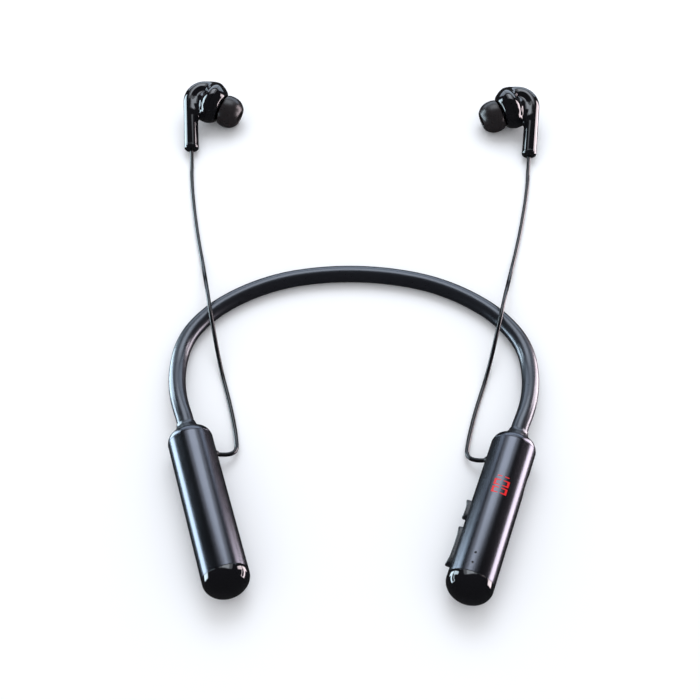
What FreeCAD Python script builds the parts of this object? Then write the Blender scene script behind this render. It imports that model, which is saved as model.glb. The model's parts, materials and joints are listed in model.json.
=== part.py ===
"""Neckband earphones: two battery pods on a springy band, with a corded earbud on each side.

Millimetres, +Z up. The set lies on a table as it is put down: pods towards -Y, the band's back
towards the middle, the cords crossing over the band and the earbuds towards +Y. The origin is
under the middle of the set, on the table, and the plane X = 0 is its plane of symmetry.
"""
import FreeCAD
import Part
import math
import os

from FreeCAD import Placement, Rotation, Vector

# --- driving dimensions -------------------------------------------------------------------
POD_D = 16.5            # outside of a pod's barrel
POD_WALL = 1.1
POD_LENGTH = 69.3       # shoulder face to rounded tip
POD_SPLAY = 18.75       # angle between a pod's axis and the plane of symmetry
SHOULDER_LENGTH = 6.0
CAP_START = 61.3        # parting line between barrel and glossy end cap
CAP_BAND = 1.3          # straight part of the end cap before it rounds off
SPIGOT = 1.6            # how far the shoulder and cap reach into the barrel
SPIGOT_PLAY = 0.05
SHOULDER_FACE_R = 4.3   # flat ring round the collar, where the shoulder's rounding starts
SHOULDER_WALL = 1.2
SEAT_START = 0.6        # along the pod: the collar's seat on the shoulder
SEAT_PLAY = 0.05        # round the band, in its collar and shoulder
COLLAR_START = -0.8
COLLAR_R = 4.25
CAP_WALL = 1.0

BAND_D = 6.5
BAND_LUMEN_D = 4.3
BACK_Y = 19.61          # the band's centre line on the plane of symmetry
# Plan view of half the band, from the back to the pod: (radius, turn in degrees). The last
# bend turns the other way and brings the band in line with the pod.
BAND_BENDS = ((109.0, 12.0), (72.3, 26.0), (48.3, 20.0), (29.5, 28.0), (65.4, 27.0), (20.0, -4.25))
BAND_LEAD = 3.0         # straight stretch in line with the pod, up to the shoulder's face
RISE_START = 78.0       # along the half band: from here it climbs from the table to the pod's axis
HINGE_AT = 27.0         # along the half band: where each arm is taken to flex
HINGE_GAP = 0.65        # clearance either side of a flexing section's cut
BAND_STEP = 7.2         # spacing of the stations that carry the band's tube
BAND_INTO_POD = 5.5

WIRE_D = 1.5            # memory-alloy spring wire
WIRE_RISE = 1.15
WIRE_INTO_POD = 10.6
LOOM_D = 1.7            # bundle of insulated conductors
LOOM_RISE = -1.1
LOOM_INTO_POD = 11.6
LOOM_PLAY = 0.2
ANCHOR_D, ANCHOR_LENGTH = 5.8, 3.8      # crimp on the spring wire's end

CORD_D = 1.6
GLAND_AT = 13.5         # along the pod
GLAND_ANGLE = 110.0     # from the pod's top round to its inner side
GLAND_D = 3.0
GLAND_PROUD = 0.9
GLAND_ROOT = 2.2        # inside the outer face of the pod's wall
GLAND_SHANK = 0.2       # straight part outside the wall, before the taper
GLAND_CORE = 1.4        # depth of the bore for the cord's core
GLAND_PLAY = 0.05

STEM_D = 6.4
STEM_WALL = 0.9
STEM_RING = 0.9
STEM_TOP = 24.1         # where the stem starts to hook over into the head
HOOK_R = 7.0            # bend of the stem's centre line
HOOK_TURN = 125.0
BUD_YAW, BUD_PITCH, BUD_ROLL = -5.0, 18.8, -7.0
STEM_REST = STEM_D / 2 * math.cos(math.radians(BUD_PITCH))
STEM_END = Vector(76.0, 89.50, STEM_REST)      # middle of the right stem's lower end
HEAD_AT = Vector(-7.3, 24.6, 0)          # earbud frame: Y up the stem, -X towards the ear
HEAD_R = 9.5
HEAD_REAR, HEAD_FRONT = -1.4, 7.4        # along the nozzle's axis, from HEAD_AT
HEAD_FRONT_R = 6.9
HEAD_WALL = 1.0
HEAD_SPLIT = 3.0        # seam between the rear and front housings
NOZZLE_DROOP = 28.3     # the nozzle's tilt below square to the stem
NOZZLE_R = 2.45
NOZZLE_BORE_R = 1.75
NOZZLE_END = 12.8
TIP_START, TIP_END = 8.0, 16.9
TIP_R = 7.2
TIP_RIM_R = 6.6
TIP_FLAT_R = 3.9
TIP_SKIN = 0.7

KEY_HEIGHT = 2.8        # buttons, measured round the pod
BUTTON_START, BUTTON_LENGTH = 32.8, 7.6
ROCKER_START, ROCKER_LENGTH = 43.5, 15.6
KEY_PLAY = 0.15
KEY_ROOT_R = 6.75       # inner end of the keys, from the pod's axis
KEY_PROUD = 1.4         # raised ends of the keys, outside the barrel
KEY_DIP = 0.75          # bottom of the finger hollow, outside the barrel
BUTTON_FLANGE = 0.6     # how far the button's flange reaches past it, inside the barrel
BUTTON_FLANGE_R = 6.1
ROCKER_END_PLAY = 0.35
ROCKER_PIN_D = 0.8
ROCKER_PIN_Y = -5.85
PIN_PLAY = 0.05
PIN_LENGTH = 5.2
BOSS_R = 1.15

BOARD_TOP = -1.75
BOARD_THICK = 0.8
BOARD_HALF_WIDTH = 5.2
BOARD_START, BOARD_END = 15.6, 57.0

PORT_AT = 20.0
PORT_LONG, PORT_HIGH, PORT_DEEP = 8.94, 3.26, 7.3
PORT_MOUTH = 7.9
PORT_SKIN = 0.3

LENS_START, LENS_LENGTH, LENS_HALF_WIDTH = 22.7, 9.2, 3.3
DIGIT_PITCH = 3.1
DIGIT_HALF_W, DIGIT_HALF_H = 1.0, 2.35
SEGMENT = 0.55

CELL_D, CELL_LENGTH, CELL_START = 14.0, 43.0, 14.9
HOLE_AT = (54.5, 58.2)  # microphone hole and status light, along the pod
HOLE_D = 0.8
HOLE_Y = -1.2

POD_R = POD_D / 2
BORE_R = POD_R - POD_WALL
BAND_Z = BAND_D / 2
BASE = Vector(0, 0, 0)
X_AXIS, Y_AXIS, Z_AXIS = Vector(1, 0, 0), Vector(0, 1, 0), Vector(0, 0, 1)

# The right cord, from its gland on the pod to the earbud's stem, as corner points of its route.
CORD_ROUTE = (
    (42.1, -66.7, 3.1),
    (43.4, -56.85, 0.8),
    (46.9, -43.15, 0.8),
    (52.0, -27.35, 0.8),
    (56.8, -7.85, 10.4),
    (59.4, 3.95, 10.4),
    (64.1, 23.65, 0.8),
    (68.5, 41.15, 0.8),
    (72.5, 60.85, 0.8),
    (74.6, 74.15, 0.8),
    (75.37, 82.2, 0.8),
)

nodes = {}


# --- building blocks ----------------------------------------------------------------------
def cylinder(radius, start, length, axis=X_AXIS):
    return Part.makeCylinder(radius, length, start, axis)


def block(x, y, z):
    """A box between three pairs of limits."""
    return Part.makeBox(x[1] - x[0], y[1] - y[0], z[1] - z[0], Vector(x[0], y[0], z[0]))


def ring(outer, inner, start, end):
    """A sleeve round the X axis."""
    body = cylinder(outer, Vector(start, 0, 0), end - start)
    return body.cut(cylinder(inner, Vector(start, 0, 0), end - start))


def outline(start, *steps):
    """A closed face in the XY plane. A step is the next corner, or an arc as (middle, end).

    An arc that ends on the X axis becomes a spline, so that it can be turned about that axis.
    """
    edges = []
    here = Vector(*start, 0)
    for step in steps:
        if isinstance(step[0], tuple):
            middle, end = (Vector(*point, 0) for point in step)
            arc = Part.Arc(here, middle, end)
            meets_axis = min(abs(here.y), abs(end.y)) < 1e-9
            edges.append((arc.toBSpline() if meets_axis else arc).toShape())
        else:
            end = Vector(*step, 0)
            edges.append(Part.makeLine(here, end))
        here = end
    if not here.isEqual(Vector(*start, 0), 1e-7):
        edges.append(Part.makeLine(here, Vector(*start, 0)))
    return Part.Face(Part.Wire(edges))


def lathe(start, *steps):
    """A solid of revolution about the X axis, from its half section (distance, radius)."""
    return outline(start, *steps).revolve(BASE, X_AXIS, 360)


def quarter(centre, along, radius, angle):
    """A point of an ellipse in the XY plane, for rounded ends."""
    turn = math.radians(angle)
    return (centre + along * math.cos(turn), radius * math.sin(turn))


def racetrack(x, long, high, y_start, y_end, z=0.0):
    """A slot-shaped bar along Y, long in X, with round ends."""
    straight = (long - high) / 2
    body = block((x - straight, x + straight), (y_start, y_end), (z - high / 2, z + high / 2))
    for end in (x - straight, x + straight):
        body = body.fuse(cylinder(high / 2, Vector(end, y_start, z), y_end - y_start, Y_AXIS))
    return body.removeSplitter()


def routed_wire(points):
    """Straight runs joined by tangent arcs, each arc as large as its two runs allow."""
    edges, radii = [], []
    start = points[0]
    for before, corner, after in zip(points, points[1:], points[2:]):
        back, ahead = before - corner, after - corner
        turn = math.pi - back.getAngle(ahead)
        if turn < 1e-4:
            continue
        reach = 0.45 * min(back.Length, ahead.Length)
        radius = reach / math.tan(turn / 2)
        back.normalize()
        ahead.normalize()
        inward = (back + ahead).normalize()
        middle = corner + inward * (radius / math.cos(turn / 2) - radius)
        edges.append(Part.LineSegment(start, corner + back * reach).toShape())
        edges.append(Part.Arc(corner + back * reach, middle, corner + ahead * reach).toShape())
        radii.append(radius)
        start = corner + ahead * reach
    edges.append(Part.LineSegment(start, points[-1]).toShape())
    return Part.Wire(edges), radii


def routed_tube(points, diameter, bore=0.0):
    """A round tube along a route, hollow where it has a bore."""
    wire, radii = routed_wire(points)
    heading = points[1] - points[0]

    def sweep(size):
        section = Part.Wire(Part.makeCircle(size / 2, points[0], heading))
        return wire.makePipeShell([section], True, False)

    body = sweep(diameter)
    if bore:
        body = body.cut(sweep(bore))
    return body, wire.Length, radii


# --- places -------------------------------------------------------------------------------
def band_plan(distance):
    """Plan position and heading on the right half band, from the back towards the pod."""
    x, y, heading = 0.0, BACK_Y, 0.0
    for radius, turn in BAND_BENDS:
        side = math.copysign(radius, turn)
        length = radius * math.radians(abs(turn))
        bend = math.radians(turn) * min(max(distance / length, 0.0), 1.0)
        x += side * (math.sin(heading + bend) - math.sin(heading))
        y += side * (math.cos(heading + bend) - math.cos(heading))
        heading += bend
        distance -= length
        if distance <= 0:
            break
    beyond = max(distance, 0.0)
    return x + beyond * math.cos(heading), y - beyond * math.sin(heading)


BAND_HALF = sum(radius * math.radians(abs(turn)) for radius, turn in BAND_BENDS)
COLLAR_X, COLLAR_Y = band_plan(BAND_HALF + BAND_LEAD)


def band_point(distance, rise=0.0):
    """Centre line of the band; a negative distance is on the left half."""
    x, y = band_plan(abs(distance))
    climb = min(max((abs(distance) - RISE_START) / (BAND_HALF - RISE_START), 0.0), 1.0)
    z = BAND_Z + (POD_R - BAND_Z) * climb * climb * (3 - 2 * climb)
    return Vector(math.copysign(x, distance), y, z + rise)


def arm_points(rise, into_pod):
    """The right arm's stations, from its flexing cut to its end inside the pod."""
    start = HINGE_AT + HINGE_GAP
    count = round((BAND_HALF - start) / BAND_STEP)
    step = (BAND_HALF - start) / count
    points = [band_point(start + step * i, rise) for i in range(count + 1)]
    return points + [band_point(BAND_HALF + BAND_LEAD + into_pod, rise)]


def centre_points(rise):
    end = HINGE_AT - HINGE_GAP
    return [band_point(end * i / 3, rise) for i in (-3, -2, -1, 1, 2, 3)]


POD_PLACE = Placement(Vector(COLLAR_X, COLLAR_Y, POD_R), Rotation(Z_AXIS, -90 - POD_SPLAY))
BUD_PLACE = Placement(
    STEM_END,
    Rotation(Z_AXIS, BUD_YAW) * Rotation(X_AXIS, BUD_PITCH) * Rotation(Y_AXIS, BUD_ROLL),
)
NOZZLE_PLACE = BUD_PLACE * Placement(HEAD_AT, Rotation(Z_AXIS, 180 + NOZZLE_DROOP))


def put(name, shape, place=None):
    """Keep a shape as a node, moved from its own frame to the set's frame."""
    shape = shape.copy()
    if place is not None:
        shape.Placement = place * shape.Placement
    nodes[name] = shape


def mirrored(shape):
    return shape.mirror(BASE, X_AXIS)


def put_left(name, shape, place=None):
    put(name, shape, place)
    nodes[name] = mirrored(nodes[name])


def put_pair(name, shape, place=None):
    """The same piece on both sides, the left one mirrored."""
    put("right_" + name, shape, place)
    nodes["left_" + name] = mirrored(nodes["right_" + name])


# --- band ---------------------------------------------------------------------------------
def build_band():
    """Sleeve, spring wire and conductors, each cut where the band is taken to flex."""
    for name, size, bore, rise, into_pod in (
        ("sleeve", BAND_D, BAND_LUMEN_D, 0.0, BAND_INTO_POD),
        ("memory_wire", WIRE_D, 0.0, WIRE_RISE, WIRE_INTO_POD),
        ("conductors", LOOM_D, 0.0, LOOM_RISE, LOOM_INTO_POD),
    ):
        put("centre_" + name, routed_tube(centre_points(rise), size, bore)[0])
        put_pair("arm_" + name, routed_tube(arm_points(rise, into_pod), size, bore)[0])


# --- pods ---------------------------------------------------------------------------------
def gland_line():
    """Where the cord leaves the pod's wall, and the way it points there."""
    turn = math.radians(GLAND_ANGLE)
    local = Vector(GLAND_AT, -POD_R * math.sin(turn), POD_R * math.cos(turn))
    wall = POD_PLACE.multVec(local)
    heading = (Vector(*CORD_ROUTE[0]) - wall).normalize()
    return wall, heading


def gland_shape():
    """A tapered strain relief through the wall, in the set's frame, bored for the cord's core."""
    wall, heading = gland_line()
    root, shank_end = wall - heading * GLAND_ROOT, wall + heading * GLAND_SHANK
    body = cylinder(GLAND_D / 2, root, GLAND_ROOT + GLAND_SHANK, heading)
    nose = Part.makeCone(GLAND_D / 2, CORD_D / 2 + 0.25, GLAND_PROUD - GLAND_SHANK, shank_end, heading)
    return body.fuse(nose).removeSplitter().cut(cylinder(CORD_D / 2, root, GLAND_CORE, heading))


def gland_hole():
    wall, heading = gland_line()
    return cylinder(GLAND_D / 2 + GLAND_PLAY, wall - heading * 3, 5, heading)


def barrel():
    return ring(POD_R, BORE_R, SHOULDER_LENGTH, CAP_START)


def shoulder():
    """Domed closure with the band's seat through it and a spigot into the barrel."""
    spigot_r = BORE_R - SPIGOT_PLAY
    seat_r = BAND_D / 2 + SEAT_PLAY
    seat_end = SHOULDER_LENGTH - 0.4
    rim_start = SHOULDER_LENGTH - 1.6
    return lathe(
        (SEAT_START, seat_r),
        (SEAT_START, SHOULDER_FACE_R),
        ((SEAT_START * 2, 6.6), (rim_start, POD_R)),
        (SHOULDER_LENGTH, POD_R),
        (SHOULDER_LENGTH, spigot_r),
        (SHOULDER_LENGTH + SPIGOT, spigot_r),
        (SHOULDER_LENGTH + SPIGOT, spigot_r - SHOULDER_WALL),
        (SHOULDER_LENGTH - 0.6, spigot_r - SHOULDER_WALL),
        (rim_start, seat_r + SHOULDER_WALL),
        (seat_end, seat_r + SHOULDER_WALL),
        (seat_end, seat_r),
    )


def collar():
    """Low ring that closes the joint between the band's sleeve and the shoulder."""
    bore_r = BAND_D / 2 + SEAT_PLAY
    return lathe(
        (COLLAR_START, bore_r),
        (COLLAR_START, 3.6),
        ((COLLAR_START + 0.2, 3.95), (COLLAR_START + 0.6, 4.1)),
        (SEAT_START, COLLAR_R),
        (SEAT_START, bore_r),
    )


def end_cap():
    """Thin glossy shell: a short straight band, then a rounded end."""
    dome = POD_LENGTH - CAP_START - CAP_BAND
    base = CAP_START + CAP_BAND
    spigot_r = BORE_R - SPIGOT_PLAY
    inner_r = spigot_r - CAP_WALL
    inner_dome = dome - POD_WALL
    return lathe(
        (CAP_START, POD_R),
        (base, POD_R),
        (quarter(base, dome, POD_R, 68), quarter(base, dome, POD_R, 45)),
        (quarter(base, dome, POD_R, 22), (POD_LENGTH, 0)),
        (POD_LENGTH - POD_WALL, 0),
        (quarter(base, inner_dome, inner_r, 45), (base, inner_r)),
        (CAP_START - SPIGOT, inner_r),
        (CAP_START - SPIGOT, spigot_r),
        (CAP_START, spigot_r),
    )


def wire_anchor():
    """Crimp block that holds the spring wire's end behind the shoulder."""
    start = SHOULDER_LENGTH + 0.6
    body = cylinder(ANCHOR_D / 2, Vector(start, 0, 0), ANCHOR_LENGTH)
    body = body.cut(cylinder(WIRE_D / 2, Vector(start, 0, WIRE_RISE), ANCHOR_LENGTH))
    half = LOOM_D / 2 + LOOM_PLAY
    return body.cut(block((start, start + ANCHOR_LENGTH), (-half, half), (-ANCHOR_D, -0.1)))


def build_pods():
    put_pair("shoulder", shoulder(), POD_PLACE)
    put_pair("collar", collar(), POD_PLACE)
    put_pair("end_cap", end_cap(), POD_PLACE)
    put_pair("wire_anchor", wire_anchor(), POD_PLACE)
    put_pair("cord_gland", gland_shape())


def build_barrels():
    """The left barrel is plain; the right one is cut for the keys, port, display and holes."""
    put_left("left_barrel", barrel(), POD_PLACE)
    nodes["left_barrel"] = nodes["left_barrel"].cut(mirrored(gland_hole()))
    body = barrel()
    inside, outside = -POD_R - 2, -BORE_R + 2
    body = body.cut(key_slot(BUTTON_START - KEY_PLAY, BUTTON_LENGTH + 2 * KEY_PLAY))
    body = body.cut(key_slot(ROCKER_START - ROCKER_END_PLAY, ROCKER_LENGTH + 2 * ROCKER_END_PLAY))
    port = racetrack(PORT_AT, PORT_LONG + 0.16, PORT_HIGH + 0.16, -outside, -inside)
    body = body.cut(port).cut(lens_block(0.05))
    for x in HOLE_AT:
        body = body.cut(cylinder(HOLE_D / 2, Vector(x, HOLE_Y, 5), 5, Z_AXIS))
    put("right_barrel", body, POD_PLACE)
    nodes["right_barrel"] = nodes["right_barrel"].cut(gland_hole())


# --- keys ---------------------------------------------------------------------------------
def key_slot(start, length):
    high = KEY_HEIGHT + 2 * KEY_PLAY
    return racetrack(start + length / 2, length, high, -POD_R - 1, -BORE_R + 1.5)


def saddle_key(start, length, dip_at):
    """A key with raised ends and a hollow for the finger, standing out on the -Y side."""
    end = start + length
    dip = start + length * dip_at
    crown = -POD_R - KEY_PROUD
    side = outline(
        (start, -KEY_ROOT_R),
        (start, crown + 0.7),
        ((start + 0.25, crown + 0.25), (start + 0.9, crown + 0.1)),
        ((dip, -POD_R - KEY_DIP), (end - 1.1, crown)),
        ((end - 0.3, crown + 0.15), (end, crown + 0.6)),
        (end, -KEY_ROOT_R),
    )
    slab = side.extrude(Vector(0, 0, KEY_HEIGHT))
    slab.translate(Vector(0, 0, -KEY_HEIGHT / 2))
    return slab.common(racetrack(start + length / 2, length, KEY_HEIGHT, -POD_R - 3, -6))


def build_keys():
    """Multi-function button that pushes in, and a volume rocker on its pin."""
    middle = BUTTON_START + BUTTON_LENGTH / 2
    flange_long, flange_high = BUTTON_LENGTH + 2 * BUTTON_FLANGE, KEY_HEIGHT + 1.0
    flange = racetrack(middle, flange_long, flange_high, -KEY_ROOT_R, -BUTTON_FLANGE_R)
    plunger = cylinder(0.7, Vector(middle, -BUTTON_FLANGE_R, 0), 0.5, Y_AXIS)
    button = saddle_key(BUTTON_START, BUTTON_LENGTH, 0.6).fuse(flange).fuse(plunger)
    put("multi_function_button", button.removeSplitter(), POD_PLACE)

    pivot = ROCKER_START + ROCKER_LENGTH / 2
    boss = cylinder(BOSS_R, Vector(pivot, ROCKER_PIN_Y, -KEY_HEIGHT / 2), KEY_HEIGHT, Z_AXIS)
    rocker = saddle_key(ROCKER_START, ROCKER_LENGTH, 0.5).fuse(boss)
    bore = cylinder(ROCKER_PIN_D / 2 + PIN_PLAY, Vector(pivot, ROCKER_PIN_Y, -3), 6, Z_AXIS)
    put("volume_rocker", rocker.cut(bore).removeSplitter(), POD_PLACE)

    pin_foot = Vector(pivot, ROCKER_PIN_Y, -PIN_LENGTH / 2)
    put("rocker_pin", cylinder(ROCKER_PIN_D / 2, pin_foot, PIN_LENGTH, Z_AXIS), POD_PLACE)
    ears = block((pivot - 1.4, pivot + 1.4), (-6.5, -4.3), (-2.7, 2.7))
    ears = ears.cut(block((pivot - 3, pivot + 3), (-8, -4.3), (-1.7, 1.7)))
    ears = ears.fuse(block((pivot - 1.8, pivot + 1.8), (-4.3, -3.5), (-2.7, 2.7)))
    hole = cylinder(ROCKER_PIN_D / 2, Vector(pivot, ROCKER_PIN_Y, -3), 6, Z_AXIS)
    put("rocker_cradle", ears.cut(hole).removeSplitter(), POD_PLACE)

    switches = []
    for x, tip in ((middle, -4.9), (ROCKER_START + 2.6, -6.1), (ROCKER_START + ROCKER_LENGTH - 2.6, -6.1)):
        body = block((x - 1.5, x + 1.5), (tip + 0.5, tip + 2.0), (BOARD_TOP, 1.25))
        switches.append(body.fuse(cylinder(0.75, Vector(x, tip, 0), 0.5, Y_AXIS)))
    put("tact_switches", Part.makeCompound(switches), POD_PLACE)


# --- right pod: electronics ---------------------------------------------------------------
def lens_block(play=0.0):
    x = (LENS_START - play, LENS_START + LENS_LENGTH + play)
    half = LENS_HALF_WIDTH + play
    return block(x, (-half, half), (4, POD_R + 1))


def segments():
    """Seven-segment figures 1, 0, 0, read along the pod with their tops towards its outside."""
    w, h, t = DIGIT_HALF_W, DIGIT_HALF_H, SEGMENT / 2
    bars = {
        "top": ((-w, w), (h - t, h + t)),
        "bottom": ((-w, w), (-h - t, -h + t)),
        "upper_right": ((w - t, w + t), (0.4, h - t - 0.12)),
        "lower_right": ((w - t, w + t), (-h + t + 0.12, -0.4)),
        "upper_left": ((-w - t, -w + t), (0.4, h - t - 0.12)),
        "lower_left": ((-w - t, -w + t), (-h + t + 0.12, -0.4)),
    }
    one = ("upper_right", "lower_right")
    middle = LENS_START + LENS_LENGTH / 2
    for place, lit in enumerate((one, tuple(bars), tuple(bars))):
        centre = middle + (place - 1) * DIGIT_PITCH - (0.25 if place == 0 else 0.0)
        for name in lit:
            (x0, x1), (y0, y1) = bars[name]
            yield block((centre + x0, centre + x1), (y0, y1), (5, POD_R + 1))


def build_display():
    """Smoked lens flush with the barrel, its lit figures, and the module and flex below."""
    skin = ring(POD_R, BORE_R, LENS_START - 1, LENS_START + LENS_LENGTH + 1)
    glow = ring(POD_R + 0.02, POD_R - 0.35, LENS_START - 1, LENS_START + LENS_LENGTH + 1)
    lens = lens_block().common(skin)
    figures = []
    for bar in segments():
        figures.append(bar.common(glow))
        lens = lens.cut(bar.common(glow))
    put("display_lens", lens, POD_PLACE)
    put("display_figures", Part.makeCompound(figures), POD_PLACE)
    x = (LENS_START + 0.1, LENS_START + LENS_LENGTH - 0.1)
    put("display_module", block(x, (-3.1, 3.1), (4.3, 6.3)), POD_PLACE)
    put("display_flex", block((26.0, 29.0), (-3.4, -3.25), (BOARD_TOP, 5.6)), POD_PLACE)


def build_board():
    """Main board with its shielded radio, the charging port, microphone and status light."""
    board = block(
        (BOARD_START, BOARD_END),
        (-BOARD_HALF_WIDTH, BOARD_HALF_WIDTH),
        (BOARD_TOP - BOARD_THICK, BOARD_TOP),
    )
    pivot = ROCKER_START + ROCKER_LENGTH / 2
    board = board.cut(block((pivot - 2.1, pivot + 2.1), (-6, -3.3), (-4, 0)))
    put("main_board", board, POD_PLACE)
    can = block((30.0, 39.0), (-2.6, 4.6), (BOARD_TOP, BOARD_TOP + 1.5))
    put("radio_module", can.makeFillet(0.3, [e for e in can.Edges if e.BoundBox.ZLength > 1]), POD_PLACE)

    start = PORT_MOUTH - PORT_DEEP
    shell = racetrack(PORT_AT, PORT_LONG, PORT_HIGH, start, PORT_MOUTH)
    inner = racetrack(
        PORT_AT, PORT_LONG - 2 * PORT_SKIN, PORT_HIGH - 2 * PORT_SKIN, start + 0.8, PORT_MOUTH
    )
    tongue = block((PORT_AT - 3.3, PORT_AT + 3.3), (start + 0.8, PORT_MOUTH - 1.0), (-0.35, 0.35))
    put("charging_port", shell.cut(inner).fuse(tongue).removeSplitter(), POD_PLACE)

    put("microphone_flex", block((51.5, 59.3), (-2.7, 0.3), (5.0, 5.15)), POD_PLACE)
    microphone = block((HOLE_AT[0] - 1.75, HOLE_AT[0] + 1.75), (-2.5, 0.15), (5.15, 6.15))
    inlet = cylinder(0.25, Vector(HOLE_AT[0], HOLE_Y, 5.5), 1, Z_AXIS)
    put("microphone", microphone.cut(inlet), POD_PLACE)
    light = cylinder(0.8, Vector(HOLE_AT[1], HOLE_Y, 5.15), 1.0, Z_AXIS)
    light = light.fuse(cylinder(HOLE_D / 2 - 0.03, Vector(HOLE_AT[1], HOLE_Y, 6.15), 1.75, Z_AXIS))
    put("status_light", light, POD_PLACE)


# --- left pod: battery --------------------------------------------------------------------
def build_battery():
    """Round cell with its foam rings and protection board."""
    middle = CELL_LENGTH - 1.0
    cell = lathe(
        (CELL_START, 0), (CELL_START, 6.6), ((CELL_START + 0.15, 6.9), (CELL_START + 0.5, CELL_D / 2)),
        (CELL_START + middle, CELL_D / 2), (CELL_START + middle, 3.0), (CELL_START + CELL_LENGTH, 3.0),
        (CELL_START + CELL_LENGTH, 0),
    )
    put_left("battery_cell", cell, POD_PLACE)
    spacer = ring(6.4, 3.6, CELL_START + middle + 0.05, CELL_START + middle + 1.6)
    put_left("battery_foam", spacer, POD_PLACE)
    board = cylinder(5.6, Vector(12.1, 0, 0), 0.8)
    board = board.cut(block((12, 13), (-8, -4.2), (-8, 8)))
    chip = block((12.9, 13.9), (0.5, 4.0), (-1.5, 1.5))
    put_left("protection_board", board.fuse(chip), POD_PLACE)


# --- earbuds ------------------------------------------------------------------------------
def head_outer(shrink=0.0):
    """The head, turned about the nozzle's axis: domed back, rounded edge, tapering front."""
    rear, front = HEAD_REAR + shrink, HEAD_FRONT - shrink
    radius, front_r = HEAD_R - shrink, HEAD_FRONT_R - shrink
    widest = rear + 2.2
    return lathe(
        (rear, 0),
        ((rear + 0.2, radius * 0.45), (rear + 0.9, radius - 1.3)),
        ((rear + 1.3, radius - 0.4), (widest, radius)),
        (((widest + front) / 2 + 0.2, radius - 0.75), (front, front_r)),
        (front, 0),
    )


def hooked_stem(radius):
    """The stem's straight rise and its hook over into the head, in the earbud's frame."""
    straight = cylinder(radius, Vector(0, STEM_RING, 0), STEM_TOP - STEM_RING, Y_AXIS)
    top = Vector(0, STEM_TOP, 0)
    section = Part.Face(Part.Wire(Part.makeCircle(radius, top, Y_AXIS)))
    hook = section.revolve(top - X_AXIS * HOOK_R, Z_AXIS, HOOK_TURN)
    return straight.fuse(hook)


def in_bud(shape):
    """Move a piece from the nozzle's frame to the earbud's frame."""
    moved = shape.copy()
    moved.Placement = Placement(HEAD_AT, Rotation(Z_AXIS, 180 + NOZZLE_DROOP))
    return moved


def build_housings():
    """Stem and rear half of the head in one shell, and the front half with the nozzle."""
    front = block((HEAD_SPLIT, 20), (-12, 12), (-12, 12))
    cavity = head_outer(HEAD_WALL)
    rear = in_bud(head_outer()).fuse(hooked_stem(STEM_D / 2)).cut(in_bud(front))
    rear = rear.cut(in_bud(cavity)).cut(hooked_stem(STEM_D / 2 - STEM_WALL))
    put_pair("rear_housing", rear.removeSplitter(), BUD_PLACE)

    lip = 0.35
    nozzle = lathe(
        (HEAD_FRONT - HEAD_WALL, 0), (HEAD_FRONT - HEAD_WALL, 4.2), (HEAD_FRONT, 4.2),
        (HEAD_FRONT + 0.8, NOZZLE_R), (NOZZLE_END - 1.6, NOZZLE_R),
        (NOZZLE_END - 1.4, NOZZLE_R + lip), (NOZZLE_END - 0.6, NOZZLE_R + lip),
        (NOZZLE_END, NOZZLE_R - 0.1), (NOZZLE_END, 0),
    )
    shell = head_outer().cut(cavity).common(front).fuse(nozzle)
    bore = cylinder(NOZZLE_BORE_R, Vector(0, 0, 0), NOZZLE_END)
    recess = cylinder(NOZZLE_R - 0.35, Vector(NOZZLE_END - 0.35, 0, 0), 1)
    put_pair("front_housing", shell.cut(bore).cut(recess).removeSplitter(), NOZZLE_PLACE)


def build_drivers():
    """Driver with its magnet cup behind, diaphragm, and the mesh over the nozzle."""
    back, frame_r = 0.2, 7.0
    driver = lathe(
        (back, 0), (back, 4.2), (back + 2.0, 4.2), (back + 2.0, frame_r),
        (back + 3.6, frame_r), (back + 3.6, 0),
    )
    put_pair("driver", driver, NOZZLE_PLACE)
    seat = back + 3.7
    cone = lathe(
        (seat, 0), (seat, frame_r), (seat + 0.15, frame_r),
        ((seat + 0.6, 5.4), (seat + 0.2, 3.6)), ((seat + 1.0, 1.9), (seat + 1.3, 0)),
    )
    put_pair("diaphragm", cone, NOZZLE_PLACE)
    put_pair("nozzle_mesh", cylinder(NOZZLE_R - 0.37, Vector(NOZZLE_END - 0.33, 0, 0), 0.15), NOZZLE_PLACE)


def build_ear_tips():
    """Silicone tip: a core that grips the nozzle, and a dome folded back from its front."""
    core_r = NOZZLE_R + 0.35 + PIN_PLAY
    sleeve_r = core_r + 0.75
    fold = TIP_END - 2.4
    tip = lathe(
        (TIP_START + 0.5, core_r), (TIP_START + 0.5, sleeve_r), (fold, sleeve_r),
        ((TIP_START + 4.6, TIP_R - TIP_SKIN - 0.35), (TIP_START, TIP_RIM_R - TIP_SKIN)),
        (TIP_START, TIP_RIM_R),
        ((TIP_START + 3.0, TIP_R), (TIP_START + 6.2, TIP_R - 0.75)),
        ((TIP_END - 0.75, TIP_FLAT_R + 1.3), (TIP_END, TIP_FLAT_R)),
        (TIP_END, core_r),
    )
    put_pair("ear_tip", tip, NOZZLE_PLACE)


def build_stem_rings():
    """Bevelled ring that closes the stem and grips the cord."""
    bore_r, outer_r, bevel = STEM_D / 2 - STEM_WALL, STEM_D / 2, 0.8
    ring_section = outline(
        (CORD_D / 2, 0.0), (outer_r - bevel, 0.0), ((outer_r - 0.25, 0.25), (outer_r, bevel)),
        (outer_r, STEM_RING), (bore_r, STEM_RING), (bore_r, STEM_RING + 1.5), (CORD_D / 2, STEM_RING + 1.5),
    )
    put_pair("stem_ring", ring_section.revolve(BASE, Y_AXIS, 360), BUD_PLACE)


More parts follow.
